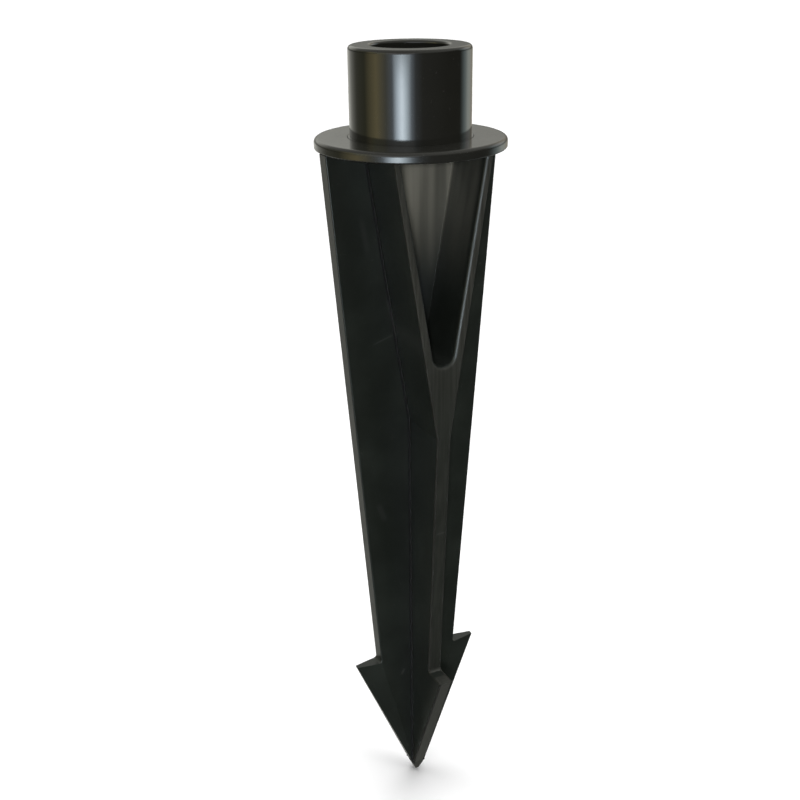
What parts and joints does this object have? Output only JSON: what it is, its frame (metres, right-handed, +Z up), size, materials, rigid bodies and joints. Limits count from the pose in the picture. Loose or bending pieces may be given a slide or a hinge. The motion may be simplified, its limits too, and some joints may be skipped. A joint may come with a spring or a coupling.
{
  "type": "post anchor spike",
  "caption": "Moulded ground stake with a cross-shaped blade, arrow barbs, cable pockets, a round flange and a thick-walled socket for a post.",
  "frame": {"origin": "on the socket's axis at the flange's underside, which is the ground line", "axes": "+Z up and out of the socket, the arrow blade in the XZ plane, the front rib towards -Y"},
  "size_m": [0.0508, 0.0508, 0.2276],
  "materials": {
    "collar_plastic": "polished black moulding",
    "flange_plastic": "smooth black moulding",
    "spike_plastic": "satin black moulding with faint scuffs"
  },
  "bodies": {
    "root": {"socket_collar": "collar_plastic", "flange_plate": "flange_plastic", "arrow_blade": "spike_plastic", "front_rib": "spike_plastic", "rear_rib": "spike_plastic"}
  },
  "joints": []
}
